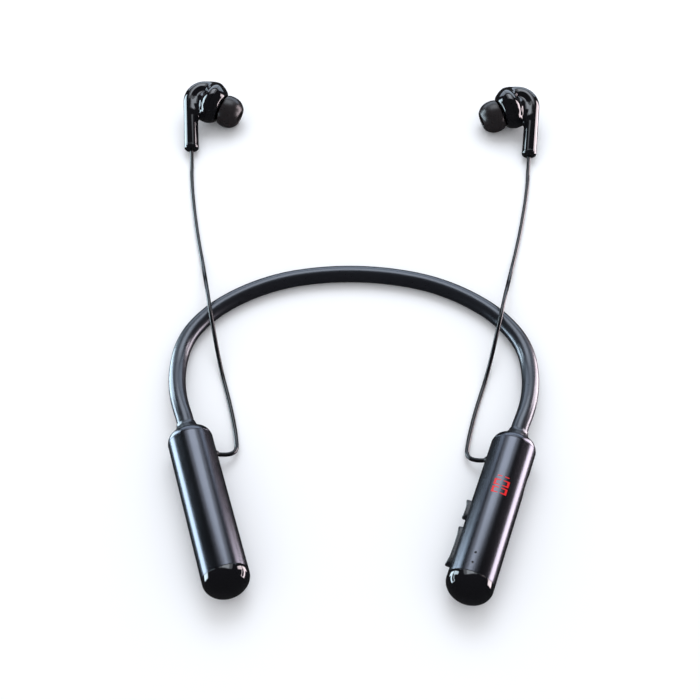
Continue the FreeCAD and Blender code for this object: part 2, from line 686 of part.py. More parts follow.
# --- cords --------------------------------------------------------------------------------
def build_cords():
    wall, heading = gland_line()
    points = [wall + heading * GLAND_PROUD] + [Vector(*point) for point in CORD_ROUTE] + [STEM_END]
    body, length, radii = routed_tube(points, CORD_D)
    put_pair("cord", body)
    section = math.pi * CORD_D**2 / 4
    print(f"cord length {length:.1f} mm, solid over section x length {body.Volume / section / length:.4f}")
    print("arc radii in diameters", [round(radius / CORD_D, 1) for radius in radii])
    print("run lengths", [round((b - a).Length, 1) for a, b in zip(points, points[1:])])
    print("cord points", [tuple(round(c, 2) for c in point) for point in points])


build_band()
build_pods()
build_barrels()
build_keys()
build_display()
build_board()
build_battery()
build_housings()
build_drivers()
build_ear_tips()
build_stem_rings()
build_cords()

os.makedirs("parts", exist_ok=True)
for node, solid in nodes.items():
    solid.exportStep(f"parts/{node}.step")
print(len(nodes), "nodes")
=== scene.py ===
"""Looks for the neckband earphones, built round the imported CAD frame.

Shapes are written in millimetres in the frame of the piece they belong to (a pod, an earbud, its
nozzle, or the band's own path) and placed in the CAD's frame, in metres, by a matrix.
"""
import json
import math

import bmesh
import bpy
import numpy as np
from mathutils import Matrix, Vector


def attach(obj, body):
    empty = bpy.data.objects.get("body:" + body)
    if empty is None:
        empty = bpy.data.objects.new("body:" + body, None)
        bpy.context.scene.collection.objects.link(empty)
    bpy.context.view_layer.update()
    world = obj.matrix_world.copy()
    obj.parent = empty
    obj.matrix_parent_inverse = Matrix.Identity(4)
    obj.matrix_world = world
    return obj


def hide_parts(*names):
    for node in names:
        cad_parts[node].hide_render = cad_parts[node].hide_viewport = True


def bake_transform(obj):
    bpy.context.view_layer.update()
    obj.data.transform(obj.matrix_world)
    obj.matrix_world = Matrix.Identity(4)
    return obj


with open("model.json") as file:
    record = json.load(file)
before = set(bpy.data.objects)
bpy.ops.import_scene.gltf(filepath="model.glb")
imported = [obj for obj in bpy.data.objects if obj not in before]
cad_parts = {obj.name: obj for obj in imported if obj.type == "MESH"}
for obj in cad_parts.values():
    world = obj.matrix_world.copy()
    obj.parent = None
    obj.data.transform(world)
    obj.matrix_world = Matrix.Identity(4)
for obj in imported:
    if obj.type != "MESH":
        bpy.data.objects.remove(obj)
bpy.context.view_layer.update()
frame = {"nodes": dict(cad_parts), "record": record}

MM = 0.001
TO_METRES = Matrix.Scale(MM, 4)
MIRROR = Matrix.Scale(-1, 4, (1, 0, 0))
SIDES = (("right", Matrix.Identity(4)), ("left", MIRROR))

# --- sizes of the set, in millimetres -------------------------------------------------------
POD_R = 8.25
POD_LENGTH = 69.3
POD_SPLAY = 18.75
SEAM_X = 7.0                # parting line between shoulder and barrel
CAP_START = 61.3
CAP_BAND = 1.3
BORE_R = 7.15

BAND_R = 3.25
SKIN_R = 3.42               # the band's skin, which thins a little towards its collars
SKIN_END_R = 3.2
SKIN_BORE_R = 2.15
THIN_START = 60.0           # distance from the back where the skin starts to thin
BACK_Y = 19.61
BAND_BENDS = ((109.0, 12.0), (72.3, 26.0), (48.3, 20.0), (29.5, 28.0), (65.4, 27.0), (20.0, -4.25))
BAND_LEAD = 3.0
BAND_HALF = sum(radius * math.radians(abs(turn)) for radius, turn in BAND_BENDS)
RISE_START = 78.0

STEM_R = 3.2
STEM_WALL = 0.9
RING_END = 1.9              # upper edge of the ring that closes the stem
STEM_TOP = 24.1
HOOK_R = 7.0
HOOK_TURN = 125.0
BUD_YAW, BUD_PITCH, BUD_ROLL = -5.0, 18.8, -7.0
STEM_END = (76.0, 89.5, STEM_R * math.cos(math.radians(BUD_PITCH)))
HEAD_AT = (-7.3, 24.6, 0.0)
HEAD_R = 9.5
HEAD_REAR, HEAD_FRONT, HEAD_FRONT_R = -1.4, 7.4, 6.9
HEAD_SPLIT = 3.0
NOZZLE_DROOP = 28.3
NOZZLE_R = 2.45
NOZZLE_END = 12.8
TIP_START, TIP_END = 8.0, 16.9
TIP_R, TIP_RIM_R, TIP_FLAT_R = 7.2, 6.6, 3.9

KEY_ROOT = 6.1              # radius at which the keys' bases lie
KEY_HIGH, KEY_SLOT_HIGH = 2.8, 3.1
BUTTON_AT, BUTTON_LONG, BUTTON_SLOT = 36.6, 7.6, 7.9
ROCKER_AT, ROCKER_LONG, ROCKER_SLOT = 51.3, 15.6, 16.3
PORT_AT, PORT_LONG, PORT_HIGH = 20.0, 9.1, 3.42
HOLES_X, HOLES_Y, HOLE_R = (54.5, 58.2), -1.2, 0.4
LENS_START, LENS_STOP, LENS_HALF = 22.64, 31.96, 3.35
FIGURES_X = (23.9, 26.45, 29.5)     # middles of the 1 and the two 0s

CORD_D = 1.6
GLAND_AT = 13.5
GLAND_ANGLE = 110.0
GLAND_R = 1.5
GLAND_PROUD = 0.9

# The right cord's route from its gland to the earbud's stem, in metres.
CORD_ROUTE = (
    (0.04871, -0.06714, 0.00516),
    (0.0421, -0.0667, 0.0031),
    (0.0434, -0.05685, 0.0008),
    (0.0469, -0.04315, 0.0008),
    (0.0520, -0.02735, 0.0008),
    (0.0568, -0.00785, 0.0104),
    (0.0594, 0.00395, 0.0104),
    (0.0641, 0.02365, 0.0008),
    (0.0685, 0.04115, 0.0008),
    (0.0725, 0.06085, 0.0008),
    (0.0746, 0.07415, 0.0008),
    (0.07537, 0.0822, 0.0008),
    (0.0760, 0.0895, 0.00303),
)


def linked(name, data):
    """A new object in the scene."""
    thing = bpy.data.objects.new(name, data)
    bpy.context.scene.collection.objects.link(thing)
    return thing


# --- camera ---------------------------------------------------------------------------------
def make_camera():
    """A short telephoto, looking down at the set from the pods' side."""
    azimuth, elevation, distance = math.radians(1.459), math.radians(55.617), 0.4202
    aim = Vector((-0.00177, -0.0161, 0.0))
    back = Vector((
        math.sin(azimuth) * math.cos(elevation),
        -math.cos(azimuth) * math.cos(elevation),
        math.sin(elevation),
    ))
    camera = linked("camera", bpy.data.cameras.new("camera"))
    camera.data.lens = 54.47
    camera.data.sensor_width = 36.0
    camera.data.clip_start, camera.data.clip_end = 0.01, 20.0
    camera.location = aim + back * distance
    camera.rotation_mode = "QUATERNION"
    camera.rotation_quaternion = (-back).to_track_quat("-Z", "Y")
    bpy.context.scene.camera = camera


# --- materials ------------------------------------------------------------------------------
class Surface:
    """A Principled material with the few nodes that the materials below share."""

    def __init__(self, name, **sockets):
        self.material = bpy.data.materials.new(name)
        self.material.use_nodes = True
        self.tree = self.material.node_tree
        self.shader = self.tree.nodes["Principled BSDF"]
        self.coordinates = self.add("ShaderNodeTexCoord").outputs["Object"]
        for socket, value in sockets.items():
            self.shader.inputs[socket.replace("_", " ")].default_value = value

    def add(self, kind, **settings):
        node = self.tree.nodes.new(kind)
        for setting, value in settings.items():
            setattr(node, setting, value)
        return node

    def link(self, source, target):
        self.tree.links.new(source, target)

    def noise(self, per_metre, detail=2.0, stretch=None):
        """Noise over the object, per_metre features to the metre, drawn out along an axis or not."""
        node = self.add("ShaderNodeTexNoise")
        node.inputs["Scale"].default_value = per_metre
        node.inputs["Detail"].default_value = detail
        vector = self.coordinates
        if stretch is not None:
            mapping = self.add("ShaderNodeMapping")
            mapping.inputs["Scale"].default_value = stretch
            self.link(vector, mapping.inputs["Vector"])
            vector = mapping.outputs["Vector"]
        self.link(vector, node.inputs["Vector"])
        return node.outputs["Fac"]

    def spread(self, factor, low, high, start=0.3, stop=0.7):
        """A factor mapped to a range of values."""
        node = self.add("ShaderNodeMapRange")
        node.inputs["From Min"].default_value = start
        node.inputs["From Max"].default_value = stop
        node.inputs["To Min"].default_value = low
        node.inputs["To Max"].default_value = high
        self.link(factor, node.inputs["Value"])
        return node.outputs["Result"]

    def mix(self, factor, dark, light):
        node = self.add("ShaderNodeMix", data_type="RGBA")
        colours = [socket for socket in node.inputs if socket.type == "RGBA"]
        for socket, value in zip(colours, (dark, light)):
            if isinstance(value, tuple):
                socket.default_value = (*value, 1.0)
            else:
                self.link(value, socket)
        self.link(factor, node.inputs["Factor"])
        return next(socket for socket in node.outputs if socket.type == "RGBA")

    def colour(self, source):
        self.link(source, self.shader.inputs["Base Color"])

    def roughness(self, source):
        self.link(source, self.shader.inputs["Roughness"])

    def bump(self, *layers):
        """Stacked bumps, each (height, depth in metres, strength)."""
        normal = None
        for height, depth, strength in layers:
            node = self.add("ShaderNodeBump")
            node.inputs["Distance"].default_value = depth
            node.inputs["Strength"].default_value = strength
            self.link(height, node.inputs["Height"])
            if normal is not None:
                self.link(normal, node.inputs["Normal"])
            normal = node.outputs["Normal"]
        self.link(normal, self.shader.inputs["Normal"])


def satin_lacquer():
    """Barrels and shoulders: gunmetal lacquer with a soft sheen and a very fine orange peel."""
    s = Surface("satin_lacquer", Metallic=1.0)
    cloud = s.noise(90, 3.0)
    s.colour(s.mix(cloud, (0.105, 0.110, 0.128), (0.114, 0.119, 0.138)))
    s.roughness(s.spread(s.noise(120, 3.0), 0.22, 0.245))
    s.bump((s.noise(1500, 1.0), 0.00001, 0.05))
    return s.material


def piano_gloss(name, low, high):
    """Polished black plastic, with the faint smears of handling."""
    s = Surface(name, Coat_Weight=0.6, Coat_Roughness=0.02, Specular_IOR_Level=0.6)
    s.colour(s.mix(s.noise(60), (0.0035, 0.0035, 0.0045), (0.006, 0.006, 0.0075)))
    smear = s.noise(140, 5.0, stretch=(1.0, 0.35, 1.0))
    s.roughness(s.spread(smear, low, high, 0.35, 0.75))
    s.bump((s.noise(350, 1.0), 0.00001, 0.12))
    return s.material


def band_elastomer():
    """The band's polished elastomer skin: glossy, with fine draw marks."""
    s = Surface("band_elastomer", Specular_IOR_Level=1.0, Coat_Weight=0.3, Coat_Roughness=0.08)
    s.shader.inputs["Specular Tint"].default_value = (0.82, 0.88, 1.0, 1.0)
    s.colour(s.mix(s.noise(70, 3.0), (0.006, 0.0065, 0.009), (0.010, 0.010, 0.014)))
    s.roughness(s.spread(s.noise(500, 4.0), 0.27, 0.33))
    s.bump((s.noise(900, 2.0), 0.00001, 0.2), (s.noise(180, 1.0), 0.00002, 0.15))
    return s.material


def cord_jacket():
    s = Surface("cord_jacket", Specular_IOR_Level=0.55)
    s.colour(s.mix(s.noise(120, 3.0), (0.004, 0.004, 0.005), (0.007, 0.007, 0.009)))
    s.roughness(s.spread(s.noise(300, 2.0), 0.16, 0.2))
    s.bump((s.noise(700, 1.0), 0.00001, 0.08))
    return s.material


def silicone():
    """Ear tips: soft dark silicone, half matt, a touch of brown where light gets in."""
    s = Surface("silicone", Subsurface_Weight=0.08, Subsurface_Scale=0.0006, Specular_IOR_Level=0.5)
    s.shader.inputs["Subsurface Radius"].default_value = (1.0, 0.6, 0.5)
    s.colour(s.mix(s.noise(150, 3.0), (0.013, 0.0105, 0.0115), (0.022, 0.018, 0.019)))
    s.roughness(s.spread(s.noise(500, 3.0), 0.26, 0.34))
    s.bump((s.noise(2400, 2.0), 0.00001, 0.2), (s.noise(300, 1.0), 0.00003, 0.12))
    return s.material


def key_plastic():
    s = Surface("key_plastic", Specular_IOR_Level=0.6)
    s.colour(s.mix(s.noise(200, 3.0), (0.007, 0.008, 0.011), (0.011, 0.012, 0.016)))
    s.roughness(s.spread(s.noise(1200, 4.0), 0.24, 0.33))
    s.bump((s.noise(4200, 2.0), 0.00001, 0.35))
    return s.material


def metal(name, tint, low, high, stretch):
    """Drawn, rolled or turned metal, with marks along its working direction."""
    s = Surface(name, Metallic=1.0)
    marks = s.noise(900, 6.0, stretch=stretch)
    dark = tuple(channel * 0.75 for channel in tint)
    s.colour(s.mix(marks, dark, tint))
    s.roughness(s.spread(marks, low, high))
    s.bump((marks, 0.00001, 0.4))
    return s.material


def moulded(name, dark, light, low=0.4, high=0.55, fine=2500, depth=0.00002):
    """Plain moulded plastic, film or lacquer in a given colour."""
    s = Surface(name)
    s.colour(s.mix(s.noise(160, 4.0), dark, light))
    s.roughness(s.spread(s.noise(700, 4.0), low, high))
    s.bump((s.noise(fine, 3.0), depth, 0.4))
    return s.material


def smoked_lens():
    """Lens over the figures, tinted to match the barrel round it."""
    s = Surface("smoked_lens", Metallic=1.0)
    s.colour(s.mix(s.noise(90, 3.0), (0.103, 0.108, 0.126), (0.112, 0.117, 0.136)))
    s.roughness(s.spread(s.noise(120, 3.0), 0.22, 0.245))
    s.bump((s.noise(700, 1.0), 0.00001, 0.05))
    return s.material


def lit_figures():
    """Light-emitting figures: an even red, a little hotter here and there."""
    s = Surface("lit_figures", Roughness=0.35, Emission_Strength=0.8)
    glow = s.mix(s.noise(900, 2.0), (0.78, 0.006, 0.010), (0.95, 0.012, 0.016))
    s.colour(s.mix(s.noise(900, 2.0), (0.06, 0.002, 0.002), (0.09, 0.003, 0.003)))
    s.link(glow, s.shader.inputs["Emission Color"])
    return s.material


def light_pipe():
    s = Surface("light_pipe", Transmission_Weight=0.5, IOR=1.49)
    s.colour(s.mix(s.noise(400, 2.0), (0.020, 0.021, 0.024), (0.035, 0.036, 0.040)))
    s.roughness(s.spread(s.noise(900, 3.0), 0.15, 0.3))
    return s.material


def circuit_board():
    """Green solder mask over a darker pattern of copper."""
    s = Surface("circuit_board", Specular_IOR_Level=0.5)
    cells = s.add("ShaderNodeTexVoronoi", feature="F1", distance="CHEBYCHEV")
    cells.inputs["Scale"].default_value = 700
    s.link(s.coordinates, cells.inputs["Vector"])
    tracks = s.spread(cells.outputs["Distance"], 0.0, 1.0, 0.3, 0.36)
    s.colour(s.mix(tracks, (0.006, 0.075, 0.035), (0.012, 0.14, 0.06)))
    s.roughness(s.spread(s.noise(900, 3.0), 0.3, 0.42))
    s.bump((tracks, 0.00003, 0.5))
    return s.material


def woven_mesh():
    """Fine steel cloth over the nozzle."""
    s = Surface("woven_mesh", Metallic=0.9)
    heights = []
    for direction in ("X", "Z"):
        wave = s.add("ShaderNodeTexWave", wave_type="BANDS", bands_direction=direction)
        wave.inputs["Scale"].default_value = 1100
        s.link(s.coordinates, wave.inputs["Vector"])
        heights.append(wave.outputs["Fac"])
    weave = s.add("ShaderNodeMath", operation="MULTIPLY")
    s.link(heights[0], weave.inputs[0])
    s.link(heights[1], weave.inputs[1])
    s.colour(s.mix(weave.outputs[0], (0.02, 0.02, 0.022), (0.34, 0.34, 0.36)))
    s.roughness(s.spread(s.noise(900, 3.0), 0.3, 0.45))
    s.bump((weave.outputs[0], 0.00006, 0.8))
    return s.material


def make_materials():
    """One material for each of the record's material slots."""
    return {
        "barrel_satin": satin_lacquer(),
        "cap_gloss": piano_gloss("piano_gloss", 0.03, 0.07),
        "bud_gloss": piano_gloss("bud_gloss", 0.035, 0.08),
        "band_rubber": band_elastomer(),
        "spring_alloy": metal("spring_alloy", (0.62, 0.62, 0.63), 0.2, 0.35, (0.2, 1.0, 1.0)),
        "insulated_loom": moulded("insulated_loom", (0.05, 0.04, 0.035), (0.12, 0.10, 0.09)),
        "zinc_crimp": metal("zinc_crimp", (0.55, 0.55, 0.57), 0.35, 0.5, (1.0, 1.0, 1.0)),
        "cord_jacket": cord_jacket(),
        "tip_silicone": silicone(),
        "key_black": key_plastic(),
        "pin_steel": metal("pin_steel", (0.66, 0.66, 0.68), 0.22, 0.38, (1.0, 1.0, 0.2)),
        "moulded_black": moulded("moulded_black", (0.012, 0.012, 0.013), (0.022, 0.022, 0.024)),
        "smoked_lens": smoked_lens(),
        "lit_figures": lit_figures(),
        "flex_amber": moulded("flex_amber", (0.42, 0.20, 0.03), (0.62, 0.33, 0.06), 0.25, 0.35),
        "board_green": circuit_board(),
        "capsule_tin": metal("capsule_tin", (0.70, 0.69, 0.64), 0.3, 0.42, (1.0, 1.0, 1.0)),
        "light_pipe": light_pipe(),
        "cell_wrap": moulded("cell_wrap", (0.03, 0.06, 0.16), (0.05, 0.09, 0.22), 0.25, 0.35),
        "foam_grey": moulded(
            "foam_grey", (0.05, 0.05, 0.055), (0.12, 0.12, 0.13), 0.8, 0.95, 1800, 0.00015
        ),
        "diaphragm_film": moulded("diaphragm_film", (0.45, 0.42, 0.34), (0.6, 0.57, 0.5), 0.3, 0.4),
        "nozzle_mesh": woven_mesh(),
    }


# --- places ---------------------------------------------------------------------------------
def band_plan(distance):
    """Plan position and heading on the right half band, from the back towards the pod."""
    x, y, heading = 0.0, BACK_Y, 0.0
    for radius, turn in BAND_BENDS:
        side = math.copysign(radius, turn)
        length = radius * math.radians(abs(turn))
        bend = math.radians(turn) * min(max(distance / length, 0.0), 1.0)
        x += side * (math.sin(heading + bend) - math.sin(heading))
        y += side * (math.cos(heading + bend) - math.cos(heading))
        heading += bend
        distance -= length
        if distance <= 0:
            break
    beyond = max(distance, 0.0)
    return x + beyond * math.cos(heading), y - beyond * math.sin(heading), heading


def band_point(distance, rise=0.0):
    x, y, _ = band_plan(distance)
    climb = min(max((distance - RISE_START) / (BAND_HALF - RISE_START), 0.0), 1.0)
    z = BAND_R + (POD_R - BAND_R) * climb * climb * (3 - 2 * climb)
    return Vector((x, y, z + rise))


def turned(axis, degrees):
    return Matrix.Rotation(math.radians(degrees), 4, axis)


COLLAR = band_plan(BAND_HALF + BAND_LEAD)
POD_PLACE = TO_METRES @ Matrix.Translation((COLLAR[0], COLLAR[1], POD_R)) @ turned("Z", -90 - POD_SPLAY)
BUD_PLACE = (
    TO_METRES @ Matrix.Translation(STEM_END)
    @ turned("Z", BUD_YAW) @ turned("X", BUD_PITCH) @ turned("Y", BUD_ROLL)
)
NOZZLE_IN_BUD = Matrix.Translation(HEAD_AT) @ turned("Z", 180 + NOZZLE_DROOP)
NOZZLE_PLACE = BUD_PLACE @ NOZZLE_IN_BUD


# --- mesh work ------------------------------------------------------------------------------
SHARP_ANGLE = 38


def new_piece(name, points, faces, place, material, body, stands_for, slot):
    """A smooth-shaded mesh from points in millimetres, placed in the frame and riding on a body."""
    mesh = bpy.data.meshes.new(name)
    if place.determinant() < 0:
        faces = [tuple(reversed(face)) for face in faces]
    mesh.from_pydata([place @ Vector(point) for point in points], [], faces)
    mesh.validate()
    mesh.shade_smooth()
    mesh.set_sharp_from_angle(angle=math.radians(SHARP_ANGLE))
    piece = linked(name, mesh)
    mesh.materials.append(material)
    if body is not None:
        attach(piece, body)
    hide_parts(*stands_for)
    return piece


def filleted(corners, steps=5):
    """A closed outline from corners (x, radius, fillet), each corner rounded by its fillet."""
    outline = []
    for i, (x, r, fillet) in enumerate(corners):
        here = Vector((x, r))
        if not fillet:
            outline.append((x, r))
            continue
        back = Vector(corners[i - 1][:2]) - here
        ahead = Vector(corners[(i + 1) % len(corners)][:2]) - here
        turn = math.pi - back.angle(ahead)
        reach = fillet * math.tan(turn / 2)
        inward = (back.normalized() + ahead.normalized()).normalized()
        centre = here + inward * (fillet / math.cos(turn / 2))
        start = here + back.normalized() * reach - centre
        side = math.copysign(1.0, start.x * (-inward.y) - start.y * (-inward.x))
        for k in range(steps + 1):
            angle = side * turn * k / steps
            c, s = math.cos(angle), math.sin(angle)
            outline.append(tuple(centre + Vector((start.x * c - start.y * s, start.x * s + start.y * c))))
    return outline


def arc(centre, radii, start, stop, steps):
    """Points of an ellipse's arc, angles in degrees from +X, without the last point."""
    angles = [math.radians(start + (stop - start) * k / steps) for k in range(steps)]
    return [(centre[0] + radii[0] * math.cos(a), centre[1] + radii[1] * math.sin(a)) for a in angles]


def flowing(knots, steps=5):
    """A smooth run of points through the knots, the first and last knot included."""
    knots = [Vector(k) for k in knots]
    padded = [knots[0] * 2 - knots[1], *knots, knots[-1] * 2 - knots[-2]]
    run = []
    for a, b, c, d in zip(padded, padded[1:], padded[2:], padded[3:]):
        for k in range(steps):
            t = k / steps
            run.append(tuple(
                b + (c - a) * (t / 2) + (a - b * 2.5 + c * 2 - d * 0.5) * t * t
                + (b * 1.5 - a / 2 - c * 1.5 + d / 2) * t ** 3
            ))
    return [*run, tuple(knots[-1])]


def turned_mesh(outline, spokes=128):
    """Points and faces of a closed outline (x, radius) turned about X; radius 0 is on the axis."""
    points, rings, faces = [], [], []
    for x, r in outline:
        if r < 1e-6:
            rings.append([len(points)] * spokes)
            points.append((x, 0.0, 0.0))
            continue
        rings.append(list(range(len(points), len(points) + spokes)))
        for k in range(spokes):
            angle = 2 * math.pi * k / spokes
            points.append((x, r * math.cos(angle), r * math.sin(angle)))
    for ring, after in zip(rings, rings[1:] + rings[:1]):
        if ring[0] == ring[1] and after[0] == after[1]:
            continue
        for k in range(spokes):
            n = (k + 1) % spokes
            face = (ring[k], ring[n], after[n], after[k])
            faces.append(tuple(dict.fromkeys(face)))
    return points, faces


def lathe(name, outline, place, material, body, stands_for, slot, spokes=128):
    """A closed outline, given clockwise seen with X to the right, turned about X."""
    points, faces = turned_mesh(outline, spokes)
    return new_piece(name, points, faces, place, material, body, stands_for, slot)


def tube(centres, radii, bore, spokes):
    """A tube along a list of centres, square to the path at each; its ends are closed."""
    centres = [Vector(c) for c in centres]
    outer, inner, points = [], [], []
    for i, centre in enumerate(centres):
        ahead = (centres[min(i + 1, len(centres) - 1)] - centres[max(i - 1, 0)]).normalized()
        if i == 0 and abs(centre.x) < 1e-9:
            ahead = Vector((1.0, 0.0, 0.0))
        side = ahead.cross(Vector((0, 0, 1))).normalized()
        up = side.cross(ahead)
        for store, radius in ((outer, radii[i]), (inner, bore)):
            if radius <= 0:
                continue
            store.append(list(range(len(points), len(points) + spokes)))
            for k in range(spokes):
                angle = 2 * math.pi * k / spokes
                points.append(centre + (side * math.cos(angle) + up * math.sin(angle)) * radius)
    faces = []
    for rings, flip in ((outer, False), (inner, True)):
        for ring, after in zip(rings, rings[1:]):
            for k in range(spokes):
                n = (k + 1) % spokes
                face = (ring[k], after[k], after[n], ring[n])
                faces.append(face[::-1] if flip else face)
    if inner:
        for a, b, flip in ((outer[0], inner[0], False), (outer[-1], inner[-1], True)):
            for k in range(spokes):
                n = (k + 1) % spokes
                face = (a[k], a[n], b[n], b[k])
                faces.append(face[::-1] if flip else face)
    else:
        faces += [tuple(outer[0]), tuple(outer[-1][::-1])]
    return points, faces


# --- cords ----------------------------------------------------------------------------------
def make_cords(materials):
    """Each cord as one smooth line from its gland to the earbud's stem."""
    for side, mirror in SIDES:
        curve = bpy.data.curves.new(side + "_cord_line", "CURVE")
        curve.dimensions = "3D"
        curve.resolution_u = 24
        curve.bevel_depth = CORD_D * MM / 2
        curve.bevel_resolution = 6
        curve.use_fill_caps = True
        spline = curve.splines.new("NURBS")
        spline.points.add(len(CORD_ROUTE) - 1)
        for point, place in zip(spline.points, CORD_ROUTE):
            point.co = (*(mirror @ Vector(place)), 1.0)
        spline.order_u = 3
        spline.use_endpoint_u = True
        piece = linked(side + "_cord_line", curve)
        curve.materials.append(materials["cord_jacket"])
        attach(piece, side + "_arm")
        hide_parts(side + "_cord")


# --- band -----------------------------------------------------------------------------------
def make_band(materials):
    """Skin, spring wire and conductors, each as two halves.

    Each has its length inside the pod, its height over the band's middle line and its radius.
    """
    layers = {
        "sleeve": (5.5, SKIN_R - BAND_R, None, "band_rubber"),
        "memory_wire": (10.6, 1.15, 0.75, "spring_alloy"),
        "conductors": (11.6, -1.1, 0.85, "insulated_loom"),
    }
    stations = 150
    for part, (into_pod, rise, radius, slot) in layers.items():
        end = BAND_HALF + BAND_LEAD + into_pod
        distances = [end * i / stations for i in range(stations + 1)]
        centres = [band_point(d, rise) for d in distances]
        if radius is None:
            thin = [min(max((d - THIN_START) / (BAND_HALF - THIN_START), 0), 1) for d in distances]
            radii = [SKIN_R + (SKIN_END_R - SKIN_R) * t * t * (3 - 2 * t) for t in thin]
            points, faces = tube(centres, radii, SKIN_BORE_R, 64)
        else:
            points, faces = tube(centres, [radius] * len(centres), 0.0, 24)
        for side, mirror in SIDES:
            piece = new_piece(
                f"{side}_band_{part}", points, faces, mirror @ TO_METRES, materials[slot], None,
                (f"{side}_arm_{part}", f"centre_{part}"), slot,
            )
            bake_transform(piece)


# --- pods -----------------------------------------------------------------------------------
def shoulder_outline():
    """Rounded closure with a soft outer corner, which starts under the collar's bell."""
    corner = flowing([(3.5, 4.9), (3.62, 5.7), (4.05, 6.65), (4.8, 7.4), (5.8, 7.92), (6.6, 8.16)])
    return [
        (SEAM_X + 1.6, BORE_R - 0.1), (SEAM_X + 1.6, BORE_R - 1.2),
        (6.4, 4.8), (6.4, SKIN_R), (3.3, SKIN_R),
        *corner,
        *filleted([corner[-1] + (0,), (SEAM_X, POD_R, 0.14), (SEAM_X, BORE_R - 0.1, 0)])[1:],
    ]


def collar_outline():
    """Bell-shaped ring round the band, with a fine lip where the band goes in."""
    bell = flowing([(0.1, 3.62), (0.75, 3.78), (1.5, 4.15), (2.3, 4.72), (3.0, 5.25), (3.55, 5.5)])
    lip = filleted([(-0.35, SKIN_END_R - 0.05, 0), (-0.35, 3.58, 0.14), (0.1, 3.62, 0)])
    return [(3.8, 5.5), (3.8, SKIN_END_R - 0.05), *lip[:-1], *bell]


def cap_outline():
    """Glossy end: a short straight band and a rounded end, with a fine edge at the parting line."""
    base = CAP_START + CAP_BAND
    dome = POD_LENGTH - base
    edge = filleted([(CAP_START, BORE_R - 0.05, 0), (CAP_START, POD_R, 0.16), (base, POD_R, 0)])
    return [
        (POD_LENGTH - 1.1, 0.0), *arc((base, 0), (dome - 1.1, BORE_R - 1.05), 0, 90, 16),
        (CAP_START - 1.6, BORE_R - 1.05), (CAP_START - 1.6, BORE_R - 0.05),
        *edge[:-1], *reversed(arc((base, 0), (dome, POD_R), 0, 90, 40)),
    ]


def gland_place(mirror):
    """The gland's frame: X along the cord's way out, origin on the pod's wall."""
    turn = math.radians(GLAND_ANGLE)
    wall = POD_PLACE @ Vector((GLAND_AT, -POD_R * math.sin(turn), POD_R * math.cos(turn)))
    heading = (Vector(CORD_ROUTE[1]) - wall).normalized()
    turned_out = heading.to_track_quat("X", "Z").to_matrix().to_4x4()
    return mirror @ Matrix.Translation(wall) @ turned_out @ TO_METRES


def gland_outline():
    """Tapered strain relief with two shallow grooves."""
    cord_r = CORD_D / 2
    outer = [(-2.2, GLAND_R, 0), (0.1, GLAND_R, 0.1), (0.32, GLAND_R - 0.28, 0.08),
             (0.42, GLAND_R - 0.16, 0.05), (0.6, GLAND_R - 0.34, 0.06), (0.7, GLAND_R - 0.26, 0.05),
             (GLAND_PROUD, cord_r + 0.22, 0.12), (GLAND_PROUD, cord_r - 0.06, 0),
             (-2.2, cord_r - 0.06, 0)]
    return filleted(outer, 4)


def stadium(x, long, high, y_start, y_end, steps=16):
    """Points and faces of a slot-shaped bar along Y, long in X, round at both ends."""
    straight, r = (long - high) / 2, high / 2
    rim = [(x + straight + r * math.sin(a), r * math.cos(a)) for a in np.linspace(0, math.pi, steps)]
    rim += [(x - straight - r * math.sin(a), -r * math.cos(a)) for a in np.linspace(0, math.pi, steps)]
    return prism([(u, y_start, v) for u, v in rim], [(u, y_end, v) for u, v in rim])


def prism(near, far):
    """Points and faces between two matching outlines, closed at both."""
    count = len(near)
    sides = [(k, (k + 1) % count, (k + 1) % count + count, k + count) for k in range(count)]
    return near + far, [*sides, tuple(range(count))[::-1], tuple(range(count, 2 * count))]


def carved(points, faces, cutters):
    """A closed mesh with the cutters' shapes taken out of it."""
    def loose(part_points, part_faces):
        mesh = bpy.data.meshes.new("cut_work")
        mesh.from_pydata(part_points, [], part_faces)
        work = bmesh.new()
        work.from_mesh(mesh)
        bmesh.ops.recalc_face_normals(work, faces=work.faces)
        work.to_mesh(mesh)
        work.free()
        return linked("cut_work", mesh)

    body = loose(points, faces)
    tools = [loose(*cutter) for cutter in cutters]
    for tool in tools:
        cut = body.modifiers.new("cut", "BOOLEAN")
        cut.operation, cut.solver, cut.object = "DIFFERENCE", "EXACT", tool
    result = bpy.data.meshes.new_from_object(body.evaluated_get(bpy.context.evaluated_depsgraph_get()))
    for thing in (body, *tools):
        bpy.data.objects.remove(thing)
    return [tuple(v.co) for v in result.vertices], [tuple(f.vertices) for f in result.polygons]


